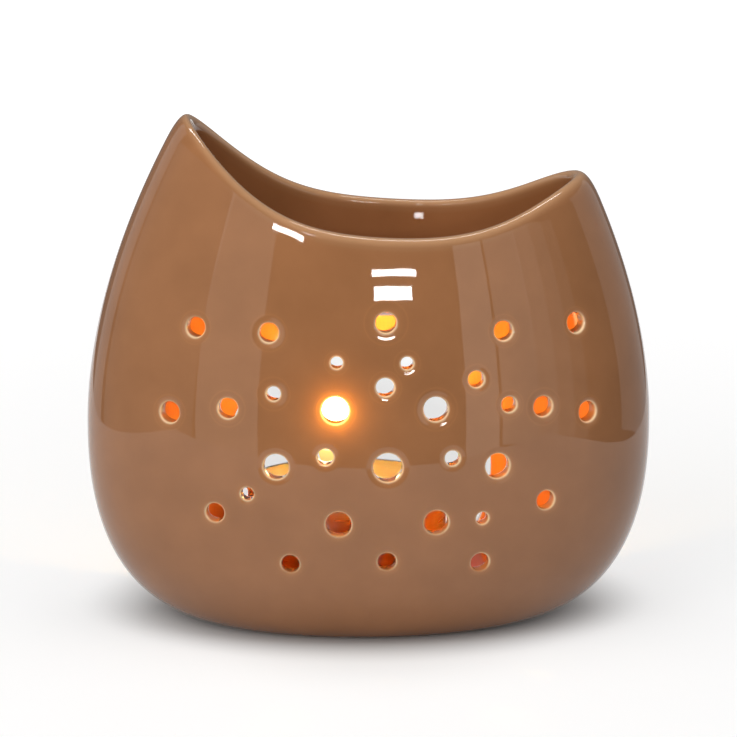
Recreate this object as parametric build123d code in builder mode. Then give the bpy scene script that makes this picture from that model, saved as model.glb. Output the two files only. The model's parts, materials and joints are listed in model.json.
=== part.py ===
from build123d import *
import os
from math import asin, cos, degrees, radians, sin, sqrt

# Oil burner: a glazed ceramic body with a saddle rim, a bowl set into its mouth and a tealight inside.
# Millimetres. +Z is up and the front with the light holes faces -Y.
# The origin is on the table, under the middle of the foot.

# Body form: round in plan, then pressed flat in Y
body_width = 110.8
depth_ratio = 0.54  # depth over width, the same at every height
widest_height = 40.0
form_top = 106.0  # top of the whole form, before the saddle is cut from it
shoulder_taper = 0.0097  # loss of half-width above the widest level
shoulder_power = 1.84
base_drop = 41.4  # depth of the rounded base below the widest level
base_power = 2.35
base_root = 4.3
base_points = 8  # points on the outline below and above the widest level
base_crowding = 2.0  # they lie closer together near the foot
shoulder_points = 6

# Wall, floor and foot
wall = 3.8
floor_height = 11.0
floor_round = 4.0
floor_points = 5  # points on the inner outline below the widest level
floor_crowding = 1.3
foot_width = 5.0
foot_recess = 5.5
foot_trim = 0.5  # ground off the underside, so that it stands flat

# Saddle rim: heights of its line across the width, from left to right
saddle_turn = -3.5  # degrees about Z: the cut was made a little askew
saddle_line = [
    (-38, 103.5), (-35, 100.6), (-31, 96.1), (-24, 89.1), (-14, 83.6), (-3, 80.8),
    (9, 79.9), (21, 81.1), (31, 84.3), (43, 89.7),
]
rim_round = 1.4

# Door at the back for the candle: round, and cut off level with the floor
door_radius = 27.1
door_x = -1.3
door_middle = 25.5
door_corner = 2.0
door_round = 1.0

# Light holes: place across, height and bore of each
light_holes = [
    (-34.1, 62.9, 3.8), (-20.2, 62.6, 3.7), (2.0, 64.7, 3.9), (24.6, 62.4, 3.7), (39.0, 62.7, 3.9),
    (-7.4, 57.2, 2.3), (6.0, 57.0, 2.4),
    (-19.4, 51.1, 2.7), (1.8, 52.5, 3.5), (19.3, 53.5, 3.1),
    (-39.2, 46.3, 4.1), (-28.1, 47.9, 3.9), (-7.7, 48.1, 5.2), (11.5, 48.1, 4.7),
    (25.7, 48.3, 3.0), (32.4, 47.4, 3.9), (41.4, 45.4, 4.0),
    (-19.0, 37.0, 4.9), (-9.6, 39.1, 3.1), (2.3, 37.0, 5.6), (14.7, 38.5, 2.9), (23.5, 36.5, 4.8),
    (-24.5, 31.4, 2.5), (-30.7, 27.3, 3.7), (-7.1, 25.8, 4.9),
    (11.7, 25.9, 4.7), (20.6, 26.3, 2.4), (33.1, 28.9, 3.7),
    (-16.3, 17.6, 3.5), (2.2, 18.2, 3.5), (20.3, 17.3, 3.6),
]
drill_length = 15.0  # reaches through the wall, and not as far as the candle

# Bowl set into the mouth
bowl_underside = 63.0
bowl_thickness = 3.0
bowl_flat = 18.0  # half-width of its flat bottom
bowl_seat_low = 67.6  # lower and upper edge of the band that is luted to the wall
bowl_seat_high = 70.4
bowl_edge = 1.0

# Tealight
candle_x = -4.2
candle_y = 3.0
candle_gap = 0.05  # it stands loose on the floor
cup_height = 16.0
cup_base_radius = 19.4
cup_rim_radius = 19.8
cup_bead = 0.5
cup_wall = 0.4
cup_base_round = 1.5
wax_depth = 11.5
sustainer_radius = 6.0
sustainer_plate = 0.4
neck_radius = 1.8
neck_height = 3.5
wick_radius = 1.0
wick_straight = 13.0
wick_bend_radius = 9.0
wick_bend = 32.0  # degrees, towards -X

cut_margin = 1.0  # how far a cutting form reaches past the surface


def half_width(height):
    if height > widest_height:
        return body_width / 2 - shoulder_taper * (height - widest_height) ** shoulder_power
    drop = (widest_height - height) / base_drop
    return body_width / 2 * (1 - drop**base_power) ** (1 / base_root)


def steps(low, high, count, crowding=1.0):
    return [low + (high - low) * (step / count) ** crowding for step in range(count + 1)]


def on_outside(edge):
    middle = edge.position_at(0.5)
    reach = sqrt(middle.X**2 + (middle.Y / depth_ratio) ** 2)
    return reach > half_width(middle.Z) - cut_margin


inner_ratio = (body_width / 2 * depth_ratio - wall) / (body_width / 2 - wall)
shoulder_heights = steps(widest_height, form_top, shoulder_points)[1:]
outer_heights = steps(-foot_trim, widest_height, base_points, base_crowding) + shoulder_heights
inner_heights = steps(floor_height, widest_height, floor_points, floor_crowding) + shoulder_heights

# Outside of the body as a closed form
with BuildPart() as outer_form:
    with BuildSketch(Plane.XZ):
        with BuildLine():
            Spline(*[(half_width(height), height) for height in outer_heights])
            Polyline(
                (half_width(form_top), form_top),
                (0, form_top),
                (0, -foot_trim),
                (half_width(-foot_trim), -foot_trim),
            )
        make_face()
    revolve(axis=Axis.Z)
    scale(by=(1, depth_ratio, 1))

# Space inside the walls, from the floor up
with BuildPart() as inner_form:
    with BuildSketch(Plane.XZ) as inner_profile:
        with BuildLine():
            Spline(*[(half_width(height) - wall, height) for height in inner_heights])
            Polyline(
                (half_width(form_top) - wall, form_top),
                (0, form_top),
                (0, floor_height),
                (half_width(floor_height) - wall, floor_height),
            )
        make_face()
        fillet(inner_profile.vertices().group_by(Axis.Y)[0].sort_by(Axis.X)[-1], floor_round)
    revolve(axis=Axis.Z)
    scale(by=(1, inner_ratio, 1))

turn = radians(saddle_turn)
saddle_plane = Plane(origin=(0, 0, 0), x_dir=(cos(turn), sin(turn), 0), z_dir=(sin(turn), -cos(turn), 0))

with BuildPart() as burner_body:
    add(outer_form.part)
    add(inner_form.part, mode=Mode.SUBTRACT)

    # Saddle rim
    with BuildSketch(saddle_plane):
        with BuildLine():
            Spline(*saddle_line)
            clear_top = form_top + cut_margin
            Polyline(saddle_line[-1], (body_width, clear_top), (-body_width, clear_top), saddle_line[0])
        make_face()
    extrude(amount=body_width, both=True, mode=Mode.SUBTRACT)
    rim_edges = burner_body.faces().filter_by(GeomType.EXTRUSION).edges().filter_by(GeomType.BSPLINE)
    fillet(rim_edges.filter_by(lambda edge: edge.length > body_width / 2), rim_round)

    # Door at the back, with its sill level with the floor
    with BuildSketch(Plane.XZ) as door:
        with BuildLine():
            dip = degrees(asin((door_middle - floor_height) / door_radius))
            arch = CenterArc((door_x, door_middle), door_radius, -dip, 180 + 2 * dip)
            Line(arch @ 1, arch @ 0)
        make_face()
        fillet(door.vertices(), door_corner)
    extrude(amount=-body_width / 2, mode=Mode.SUBTRACT)
    door_edges = burner_body.edges(Select.LAST).filter_by(GeomType.LINE, reverse=True)
    fillet(door_edges.filter_by(on_outside), door_round)

    # Light holes, each square to the wall in plan and level
    for across, height, bore in light_holes:
        front = -depth_ratio * sqrt(half_width(height) ** 2 - across**2)
        with Locations(Plane(origin=(across, front, height), z_dir=(across, front / depth_ratio**2, 0))):
            Cylinder(bore / 2, drill_length, mode=Mode.SUBTRACT)

    # Flat foot, and the hollow inside it
    with BuildSketch():
        Rectangle(body_width, body_width)
    extrude(amount=-foot_trim, mode=Mode.SUBTRACT)
    with BuildSketch():
        Ellipse(half_width(0) - foot_width, half_width(0) * depth_ratio - foot_width)
    extrude(amount=foot_recess, mode=Mode.SUBTRACT)

with BuildPart() as oil_bowl:
    with BuildSketch(Plane.XZ):
        with BuildLine():
            seat_reach = half_width(bowl_seat_low)
            edge_reach = half_width(bowl_seat_high) - wall - bowl_edge
            bowl_floor = bowl_underside + bowl_thickness
            Line((0, bowl_underside), (bowl_flat, bowl_underside))
            TangentArc((bowl_flat, bowl_underside), (seat_reach, bowl_seat_low), tangent=(1, 0))
            Polyline((seat_reach, bowl_seat_low), (seat_reach, bowl_seat_high), (edge_reach, bowl_seat_high))
            TangentArc((bowl_flat, bowl_floor), (edge_reach, bowl_seat_high), tangent=(1, 0))
            Polyline((bowl_flat, bowl_floor), (0, bowl_floor), (0, bowl_underside))
        make_face()
    revolve(axis=Axis.Z)
    scale(by=(1, inner_ratio, 1))
    add(inner_form.part, mode=Mode.INTERSECT)

candle_axis = Axis((candle_x, candle_y, 0), (0, 0, 1))
candle_foot = Plane(origin=(candle_x, candle_y, floor_height + candle_gap))
candle_side = Plane(origin=candle_foot.origin, x_dir=(1, 0, 0), z_dir=(0, -1, 0))
cup_top_inside = cup_rim_radius - cup_wall

# Space inside the tealight's cup
with BuildPart() as cup_space:
    with BuildSketch(candle_side) as space_profile:
        with BuildLine():
            Polyline(
                (0, cup_wall),
                (cup_base_radius - cup_wall, cup_wall),
                (cup_top_inside, cup_height),
                (0, cup_height),
                close=True,
            )
        make_face()
        fillet(space_profile.vertices().group_by(Axis.Y)[0].sort_by(Axis.X)[-1], cup_base_round - cup_wall)
    revolve(axis=candle_axis)

with BuildPart() as tealight_cup:
    with BuildSketch(candle_side) as cup_profile:
        with BuildLine():
            Polyline(
                (0, 0), (cup_base_radius, 0), (cup_rim_radius, cup_height), (0, cup_height), close=True
            )
        make_face()
        fillet(cup_profile.vertices().group_by(Axis.Y)[0].sort_by(Axis.X)[-1], cup_base_round)
        with Locations((cup_rim_radius, cup_height - cup_bead)):
            Circle(cup_bead)
    revolve(axis=candle_axis)
    add(cup_space.part, mode=Mode.SUBTRACT)

with BuildPart() as wick_sustainer:
    with BuildSketch(candle_foot.offset(cup_wall)):
        Circle(sustainer_radius)
    extrude(amount=sustainer_plate)
    with BuildSketch(candle_foot.offset(cup_wall)):
        Circle(neck_radius)
    extrude(amount=neck_height)
    with BuildSketch(candle_foot.offset(cup_wall)):
        Circle(wick_radius)
    extrude(amount=neck_height, mode=Mode.SUBTRACT)

wick_bend_start = candle_foot.offset(wick_straight)
wick_bend_middle = wick_bend_start.origin - Vector(wick_bend_radius, 0, 0)

with BuildPart() as wick:
    with BuildSketch(candle_foot.offset(cup_wall)):
        Circle(wick_radius)
    extrude(amount=wick_straight - cup_wall)
    with BuildSketch(wick_bend_start):
        Circle(wick_radius)
    revolve(axis=Axis(wick_bend_middle, (0, -1, 0)), revolution_arc=wick_bend)

with BuildPart() as tealight_wax:
    with BuildSketch(candle_foot.offset(cup_wall)):
        Circle(cup_rim_radius)
    extrude(amount=wax_depth)
    add(cup_space.part, mode=Mode.INTERSECT)
    add(wick_sustainer.part, mode=Mode.SUBTRACT)
    add(wick.part, mode=Mode.SUBTRACT)

pieces = {
    "burner_body": burner_body,
    "oil_bowl": oil_bowl,
    "tealight_cup": tealight_cup,
    "tealight_wax": tealight_wax,
    "wick_sustainer": wick_sustainer,
    "wick": wick,
}
os.makedirs("parts", exist_ok=True)
for name, piece in pieces.items():
    piece.part.label = name
    export_step(piece.part, f"parts/{name}.step")
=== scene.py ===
import json
import math

import bmesh
import bpy
import numpy as np
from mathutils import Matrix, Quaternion, Vector
from mathutils.geometry import delaunay_2d_cdt

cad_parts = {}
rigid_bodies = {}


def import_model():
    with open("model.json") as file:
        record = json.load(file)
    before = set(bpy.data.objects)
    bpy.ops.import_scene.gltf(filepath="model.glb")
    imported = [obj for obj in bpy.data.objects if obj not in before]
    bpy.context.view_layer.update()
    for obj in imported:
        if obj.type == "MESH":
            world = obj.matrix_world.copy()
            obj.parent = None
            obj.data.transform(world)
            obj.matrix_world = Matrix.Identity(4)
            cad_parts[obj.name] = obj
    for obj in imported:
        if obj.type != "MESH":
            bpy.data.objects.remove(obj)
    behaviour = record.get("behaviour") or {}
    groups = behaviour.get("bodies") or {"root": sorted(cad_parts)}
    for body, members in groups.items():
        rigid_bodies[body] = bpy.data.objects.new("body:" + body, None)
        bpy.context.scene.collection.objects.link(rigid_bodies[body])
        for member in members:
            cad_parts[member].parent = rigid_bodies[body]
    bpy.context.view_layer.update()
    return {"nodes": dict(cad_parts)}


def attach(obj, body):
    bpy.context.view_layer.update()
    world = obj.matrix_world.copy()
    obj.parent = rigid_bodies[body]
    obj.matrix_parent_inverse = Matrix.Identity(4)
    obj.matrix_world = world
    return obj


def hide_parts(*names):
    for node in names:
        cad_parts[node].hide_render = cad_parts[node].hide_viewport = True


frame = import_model()
print("frame loaded:", ", ".join(sorted(frame["nodes"])))

mm = 0.001  # the forms below are worked out in millimetres
sharpAngle = 50  # degrees from which an edge shows as sharp
sceneObjects = bpy.context.scene.collection.objects


# mesh helpers: a shell is a growing list of points and faces

def newShell():
    return {"points": [], "faces": [], "count": 0}


def addPoints(shell, points):
    points = np.asarray(points, float).reshape(-1, 3)
    first = shell["count"]
    shell["points"].append(points)
    shell["count"] += len(points)
    return np.arange(first, first + len(points))


def joinLoops(shell, loopA, loopB):
    count = len(loopA)
    for k in range(count):
        n = (k + 1) % count
        shell["faces"].append((int(loopA[k]), int(loopA[n]), int(loopB[n]), int(loopB[k])))


def addRing(shell, last, ring):
    ids = addPoints(shell, ring)
    joinLoops(shell, last, ids)
    return ids


def capLoop(shell, loop):
    shell["faces"].append(tuple(int(k) for k in loop))


def closedSkin(loops):
    # rings of points, each joined to the next, with a flat end on the first and the last
    shell = newShell()
    first = addPoints(shell, loops[0])
    last = first
    for ring in loops[1:]:
        last = addRing(shell, last, ring)
    capLoop(shell, first)
    capLoop(shell, last)
    return shell


def quarterTurn(steps):
    return np.linspace(0, math.pi / 2, steps + 1)[1:]


def makePiece(name, shell, material, body, node=None):
    mesh = bpy.data.meshes.new(name)
    mesh.from_pydata((np.concatenate(shell["points"]) * mm).tolist(), [], shell["faces"])
    work = bmesh.new()
    work.from_mesh(mesh)
    bmesh.ops.recalc_face_normals(work, faces=work.faces)
    work.to_mesh(mesh)
    work.free()
    mesh.polygons.foreach_set("use_smooth", [True] * len(mesh.polygons))
    mesh.set_sharp_from_angle(angle=math.radians(sharpAngle))
    mesh.materials.append(material)
    piece = bpy.data.objects.new(name, mesh)
    sceneObjects.link(piece)
    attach(piece, body)
    if node:
        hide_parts(node)
    return piece


def setPointValues(piece, name, values):
    layer = piece.data.attributes.new(name, "FLOAT", "POINT")
    layer.data.foreach_set("value", np.asarray(values, np.float32))


def turned(profile, count, centre=(0, 0), flat=1.0, wave=None):
    # loops of a profile of (radius, height) turned about a vertical line; wave alters the radius round it
    angles = np.linspace(0, 2 * math.pi, count, endpoint=False)
    loops = []
    for k, (radius, height) in enumerate(profile):
        reach = radius + (wave(angles, k) if wave else 0)
        loops.append(np.stack([
            centre[0] + reach * np.cos(angles),
            centre[1] + flat * reach * np.sin(angles),
            np.full(count, height),
        ], -1))
    return loops


# material helpers

def emptyMaterial(name):
    material = bpy.data.materials.new(name)
    material.use_nodes = True
    nodes, links = material.node_tree.nodes, material.node_tree.links
    nodes.clear()
    return material, nodes, links, nodes.new("ShaderNodeOutputMaterial")


def startMaterial(name):
    material, nodes, links, output = emptyMaterial(name)
    shader = nodes.new("ShaderNodeBsdfPrincipled")
    links.new(shader.outputs[0], output.inputs[0])
    return material, nodes, links, shader


def noiseNode(nodes, links, scale, detail, stretch=None):
    place = nodes.new("ShaderNodeTexCoord")
    noise = nodes.new("ShaderNodeTexNoise")
    noise.inputs["Scale"].default_value = scale
    noise.inputs["Detail"].default_value = detail
    vector = place.outputs["Object"]
    if stretch:
        mapping = nodes.new("ShaderNodeMapping")
        mapping.inputs["Scale"].default_value = stretch
        links.new(vector, mapping.inputs["Vector"])
        vector = mapping.outputs["Vector"]
    links.new(vector, noise.inputs["Vector"])
    return noise.outputs["Fac"]


def heightNode(nodes, links, low, high):
    # from 0 to 1 between two heights in millimetres
    place = nodes.new("ShaderNodeTexCoord")
    axes = nodes.new("ShaderNodeSeparateXYZ")
    rise = nodes.new("ShaderNodeMapRange")
    rise.inputs["From Min"].default_value = low * mm
    rise.inputs["From Max"].default_value = high * mm
    links.new(place.outputs["Object"], axes.inputs["Vector"])
    links.new(axes.outputs["Z"], rise.inputs["Value"])
    return rise.outputs["Result"]


def rampNode(nodes, links, source, stops):
    ramp = nodes.new("ShaderNodeValToRGB")
    elements = ramp.color_ramp.elements
    while len(elements) < len(stops):
        elements.new(0.5)
    for element, (position, colour) in zip(elements, stops):
        element.position = position
        element.color = (*colour, 1.0)
    links.new(source, ramp.inputs["Fac"])
    return ramp.outputs["Color"]


def rangeNode(nodes, links, source, low, high):
    spread = nodes.new("ShaderNodeMapRange")
    spread.inputs["To Min"].default_value = low
    spread.inputs["To Max"].default_value = high
    links.new(source, spread.inputs["Value"])
    return spread.outputs["Result"]


def bumpNode(nodes, links, shader, source, strength, distance):
    bump = nodes.new("ShaderNodeBump")
    bump.inputs["Strength"].default_value = strength
    bump.inputs["Distance"].default_value = distance
    links.new(source, bump.inputs["Height"])
    links.new(bump.outputs["Normal"], shader.inputs["Normal"])


def noiseCoat(nodes, links, shader, look):
    # one noise varies the colour, the gloss and, where the look has a bump, the surface
    noise = noiseNode(nodes, links, look["scale"], look["detail"], look.get("stretch"))
    darkest, lightest = 0.3, 0.7  # nearly all of the noise lies between these
    colour = rampNode(nodes, links, noise, [(darkest, look["dark"]), (lightest, look["light"])])
    links.new(colour, shader.inputs["Base Color"])
    gloss = rangeNode(nodes, links, noise, look["roughLow"], look["roughHigh"])
    links.new(gloss, shader.inputs["Roughness"])
    if "bump" in look:
        bumpNode(nodes, links, shader, noise, *look["bump"])
    for socket, value in look["sockets"].items():
        shader.inputs[socket].default_value = value
    return colour


def coatedMaterial(name, look):
    material, nodes, links, shader = startMaterial(name)
    noiseCoat(nodes, links, shader, look)
    return material


# glazed body: the same form as the solid, with dished and rounded light holes

bodyForm = {
    "halfWidth": 55.4, "depthRatio": 0.54, "widestHeight": 40.0, "formTop": 106.0,
    "shoulderTaper": 0.0097, "shoulderPower": 1.84,
    "baseDrop": 41.4, "basePower": 2.35, "baseRoot": 4.3,
    "wall": 3.8, "floorHeight": 11.0, "floorRound": 4.0,
    "footWidth": 5.0, "footRecess": 5.5, "footRound": 0.8,
    "saddleTurn": -3.5, "saddleDegree": 6,
    "saddleLine": [(-38, 103.5), (-35, 100.6), (-31, 96.1), (-24, 89.1), (-14, 83.6), (-3, 80.8),
                   (9, 79.9), (21, 81.1), (31, 84.3), (43, 89.7)],
    "rimRound": 1.5, "rimRoundMost": 1.9, "peakRound": 3.6, "peakReach": 6, "rimSteps": 8,
    "columns": 240, "outerRows": 100, "innerRows": 96,
    "floorMiddle": 0.6, "floorSteps": 24, "innerSteps": 400, "outerSteps": 1500, "turnSteps": 4001,
    "touchRounds": 12, "rimRounds": 40, "rimLowest": 60.0, "footSteps": 4,
    "sectionShape": 0.77,  # how much of the profile's slope counts when the rows are spaced
}

holeForm = {
    # place across, height and bore of each light hole, and the radius of the dished glaze round it;
    # a fifth value is the steepest slope of a dish that differs from the others
    "holes": [
        (-34.1, 62.9, 3.8, 3.2), (-20.2, 62.6, 3.7, 3.5), (2.0, 64.7, 3.9, 4.2, 0.049),
        (24.6, 62.4, 3.7, 3.1), (39.0, 62.7, 3.9, 3.0), (-7.4, 57.2, 2.3, 2.3), (6.0, 57.0, 2.4, 2.5),
        (-19.4, 51.1, 2.7, 3.2), (1.8, 52.5, 3.5, 3.1), (19.3, 53.5, 3.1, 2.9),
        (-39.2, 46.3, 4.1, 3.4), (-28.1, 47.9, 3.9, 3.5), (-7.7, 48.1, 5.2, 4.0),
        (11.5, 48.1, 4.7, 4.1, 0.19), (25.7, 48.3, 3.0, 2.8), (32.4, 47.4, 3.9, 3.6), (41.4, 45.4, 4.0, 3.2),
        (-19.0, 37.0, 4.9, 3.9), (-9.6, 39.1, 3.1, 3.0), (2.3, 37.0, 5.6, 4.4), (14.7, 38.5, 2.9, 2.8),
        (23.5, 36.5, 4.8, 3.9), (-24.5, 31.4, 2.5, 2.4), (-30.7, 27.3, 3.7, 3.2), (-7.1, 25.8, 4.9, 3.9),
        (11.7, 25.9, 4.7, 3.8), (20.6, 26.3, 2.4, 2.4), (33.1, 28.9, 3.7, 3.2),
        (-16.3, 17.6, 3.5, 3.2), (2.2, 18.2, 3.5, 3.2), (20.3, 17.3, 3.6, 3.2),
    ],
    "points": 48,
    "lip": 0.45, "lipSteps": 5,
    # the inner ends open out to the sides, fully where the wall's normal has sideFull across
    "innerLip": 0.12, "innerSide": 1.3, "innerDepth": 2.7, "sideFull": 0.35,
    "dishSlope": 0.125, "dishRings": 9, "dishMargin": 0.25,
    "innerRings": [0.8, 0.35, 0.0],
    "farAway": 1000.0,  # stands for the distance of points on the body's other side
}

doorForm = {
    "radius": 27.1, "across": -1.3, "middle": 25.5, "corner": 2.0, "lip": 1.1, "lipSteps": 6,
    "archPoints": 130, "cornerPoints": 8, "sillPoints": 44,
    "rings": [3.0, 2.1, 1.5, 1.1],
}

innerRatio = ((bodyForm["halfWidth"] * bodyForm["depthRatio"] - bodyForm["wall"])
              / (bodyForm["halfWidth"] - bodyForm["wall"]))
saddleXs, saddleZs = np.array(bodyForm["saddleLine"], float).T
saddleCurve = np.polyfit(saddleXs, saddleZs, bodyForm["saddleDegree"])


def halfWidthAt(height):
    above = bodyForm["halfWidth"] - bodyForm["shoulderTaper"] * np.maximum(
        height - bodyForm["widestHeight"], 0) ** bodyForm["shoulderPower"]
    drop = np.clip((bodyForm["widestHeight"] - height) / bodyForm["baseDrop"], 0, 1)
    return above * (1 - drop ** bodyForm["basePower"]) ** (1 / bodyForm["baseRoot"])


def innerProfile():
    # radius and height along the inside, from the middle of the floor to the top of the form
    low, rounding = bodyForm["floorHeight"], bodyForm["floorRound"]
    touch = low + rounding / 2
    rise = 0.01  # a small step up and down
    for _ in range(bodyForm["touchRounds"]):
        slope = float(halfWidthAt(touch + rise) - halfWidthAt(touch - rise)) / (2 * rise)
        lean = math.atan(slope)
        touch = low + rounding - rounding * math.sin(lean)
    middle = float(halfWidthAt(touch)) - bodyForm["wall"] - rounding * math.cos(lean)
    turn = np.linspace(-math.pi / 2, -lean, bodyForm["floorSteps"])
    arc = middle + rounding * np.cos(turn)
    heights = np.linspace(touch, bodyForm["formTop"], bodyForm["innerSteps"])[1:]
    radii = np.concatenate([[bodyForm["floorMiddle"]], arc, halfWidthAt(heights) - bodyForm["wall"]])
    levels = np.concatenate([[low], low + rounding + rounding * np.sin(turn), heights])
    return radii, levels


def runAlong(xs, ys, xScale=1.0, yScale=1.0):
    # length along a line of points, from its first
    return np.concatenate([[0], np.cumsum(np.hypot(xScale * np.diff(xs), yScale * np.diff(ys)))])


innerRadii, innerLevels = innerProfile()
innerRun = runAlong(innerRadii, innerLevels)
outerLevels = bodyForm["formTop"] * np.linspace(0, 1, bodyForm["outerSteps"]) ** 2
outerRun = runAlong(halfWidthAt(outerLevels), outerLevels, bodyForm["sectionShape"])
turnTable = np.linspace(0, 2 * math.pi, bodyForm["turnSteps"])
girth = runAlong(np.cos(turnTable), np.sin(turnTable), bodyForm["halfWidth"],
                 bodyForm["halfWidth"] * bodyForm["depthRatio"])


def angleOf(column):
    return np.interp(np.asarray(column) * girth[-1] / bodyForm["columns"], girth, turnTable)


def columnOf(angle):
    return np.interp(np.mod(angle, 2 * math.pi), turnTable, girth) * bodyForm["columns"] / girth[-1]


def ovalPoint(reach, ratio, angle, level):
    return np.stack([reach * np.cos(angle), ratio * reach * np.sin(angle), level + 0 * angle], -1)


def outerPoint(angle, height):
    return ovalPoint(halfWidthAt(height), bodyForm["depthRatio"], angle, height)


def innerPoint(angle, run):
    reach = np.interp(run, innerRun, innerRadii)
    return ovalPoint(reach, innerRatio, angle, np.interp(run, innerRun, innerLevels))


def saddleHeight(point):
    turn = math.radians(bodyForm["saddleTurn"])
    return np.polyval(saddleCurve, point[..., 0] * math.cos(turn) + point[..., 1] * math.sin(turn))


def rimHeight(angle, inset):
    # height at which the wall, set in by inset, meets the saddle
    ratio = innerRatio if inset else bodyForm["depthRatio"]
    low = np.full(angle.shape, bodyForm["rimLowest"])
    high = np.full(angle.shape, bodyForm["formTop"])
    for _ in range(bodyForm["rimRounds"]):
        level = (low + high) / 2
        over = level > saddleHeight(ovalPoint(halfWidthAt(level) - inset, ratio, angle, level))
        high = np.where(over, level, high)
        low = np.where(over, low, level)
    return (low + high) / 2


rimOuter = rimHeight(turnTable, 0.0)
rimInner = rimHeight(turnTable, bodyForm["wall"])
outerRound = bodyForm["rimRound"] + bodyForm["peakRound"] * np.abs(np.cos(turnTable)) ** bodyForm["peakReach"]
outerTopRun = np.interp(rimOuter - outerRound, outerLevels, outerRun)
innerTopRun = np.interp(rimInner - bodyForm["rimRound"], innerLevels, innerRun)


def outerGrid(column, row):
    angle = angleOf(column)
    run = np.interp(angle, turnTable, outerTopRun) * row / bodyForm["outerRows"]
    return angle, np.interp(run, outerRun, outerLevels)


def outerCell(points):
    angle = np.mod(np.arctan2(points[:, 1] / bodyForm["depthRatio"], points[:, 0]), 2 * math.pi)
    run = np.interp(points[:, 2], outerLevels, outerRun) / np.interp(angle, turnTable, outerTopRun)
    return np.stack([columnOf(angle), run * bodyForm["outerRows"]], -1)


def innerGrid(column, row):
    angle = angleOf(column)
    return angle, np.interp(angle, turnTable, innerTopRun) * row / bodyForm["innerRows"]


def innerCell(points):
    angle = np.mod(np.arctan2(points[:, 1] / innerRatio, points[:, 0]), 2 * math.pi)
    # openings lie above the floor, so their height gives the run
    run = np.interp(points[:, 2], innerLevels[1:], innerRun[1:])
    share = run / np.interp(angle, turnTable, innerTopRun)
    return np.stack([columnOf(angle), share * bodyForm["innerRows"]], -1)


holes = []
for across, height, bore, dish, *slope in holeForm["holes"]:
    depth = -bodyForm["depthRatio"] * math.sqrt(float(halfWidthAt(height)) ** 2 - across ** 2)
    normal = np.array([across, depth / bodyForm["depthRatio"] ** 2, 0.0])
    normal /= np.linalg.norm(normal)
    holes.append({
        "centre": np.array([across, depth, height]), "normal": normal,
        "tangent": np.array([-normal[1], normal[0], 0.0]), "radius": bore / 2, "dish": dish,
        "slope": slope[0] if slope else holeForm["dishSlope"],
        "side": holeForm["innerSide"] * min(1.0, abs(normal[0]) / holeForm["sideFull"]),
    })


def holeDistance(hole, points):
    away = points - hole["centre"]
    distance = np.hypot(away @ hole["tangent"], away[:, 2])
    return np.where(points @ hole["normal"] > 0, distance, holeForm["farAway"])


def dishDepth(hole, distance):
    # the slope grows and fades again between the bore and the edge of the dish
    width = hole["dish"] - hole["radius"]
    run = np.clip(distance - hole["radius"], 0, width)
    return hole["slope"] * ((width - run) / 2 + width / (4 * math.pi) * np.sin(2 * math.pi * run / width))


def dished(points):
    moved = points.copy()
    for hole in holes:
        moved -= dishDepth(hole, holeDistance(hole, points))[:, None] * hole["normal"]
    return moved


def outerNormals(angle, height):
    turn, rise = 1e-3, 0.02  # small steps to each side
    sideways = dished(outerPoint(angle + turn, height)) - dished(outerPoint(angle - turn, height))
    lower = np.maximum(height - rise, 0)
    upward = dished(outerPoint(angle, height + rise)) - dished(outerPoint(angle, lower))
    normals = np.cross(sideways, upward)
    return normals / np.linalg.norm(normals, axis=1)[:, None]


def holeRing(hole, radius, inset, side=0.0):
    # circle about the hole's axis, widened sideways and carried along the axis onto the wall
    turn = np.linspace(0, 2 * math.pi, holeForm["points"], endpoint=False)
    base = (hole["centre"] + np.outer((radius + side) * np.cos(turn), hole["tangent"])
            + np.outer(radius * np.sin(turn), [0, 0, 1]))
    reach = halfWidthAt(base[:, 2]) - inset
    depth = reach * (innerRatio if inset else bodyForm["depthRatio"])
    nx, ny = hole["normal"][:2]
    a = (nx / reach) ** 2 + (ny / depth) ** 2
    b = 2 * (base[:, 0] * nx / reach ** 2 + base[:, 1] * ny / depth ** 2)
    c = (base[:, 0] / reach) ** 2 + (base[:, 1] / depth) ** 2 - 1
    return base + np.outer((-b + np.sqrt(b * b - 4 * a * c)) / (2 * a), hole["normal"])


def doorOutline(offset):
    # round arch with small corners at a level sill, grown outwards by offset
    corner = doorForm["corner"]
    level = bodyForm["floorHeight"] + corner
    reach = math.sqrt((doorForm["radius"] - corner) ** 2 - (doorForm["middle"] - level) ** 2)
    dip = math.atan2(doorForm["middle"] - level, reach)
    arch = np.linspace(-dip, math.pi + dip, doorForm["archPoints"])
    left = np.linspace(math.pi + dip, 1.5 * math.pi, doorForm["cornerPoints"])[1:]
    right = np.linspace(1.5 * math.pi, 2 * math.pi - dip, doorForm["cornerPoints"])[:-1]
    sill = np.linspace(-reach, reach, doorForm["sillPoints"])[1:-1]
    big, small = doorForm["radius"] + offset, corner + offset
    outline = np.concatenate([
        np.stack([big * np.cos(arch), doorForm["middle"] + big * np.sin(arch)], -1),
        np.stack([-reach + small * np.cos(left), level + small * np.sin(left)], -1),
        np.stack([sill, np.full(len(sill), level - small)], -1),
        np.stack([reach + small * np.cos(right), level + small * np.sin(right)], -1),
    ])
    return outline + np.array([doorForm["across"], 0])


def doorRing(offset, inside):
    outline = doorOutline(offset)
    if inside:
        outline[:, 1] = np.maximum(outline[:, 1], bodyForm["floorHeight"])
        reach = np.interp(outline[:, 1], innerLevels[1:], innerRadii[1:])
        ratio = innerRatio
    else:
        reach = halfWidthAt(outline[:, 1])
        ratio = bodyForm["depthRatio"]
    depth = ratio * np.sqrt(reach ** 2 - outline[:, 0] ** 2)
    return np.stack([outline[:, 0], depth, outline[:, 1]], -1)


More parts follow.
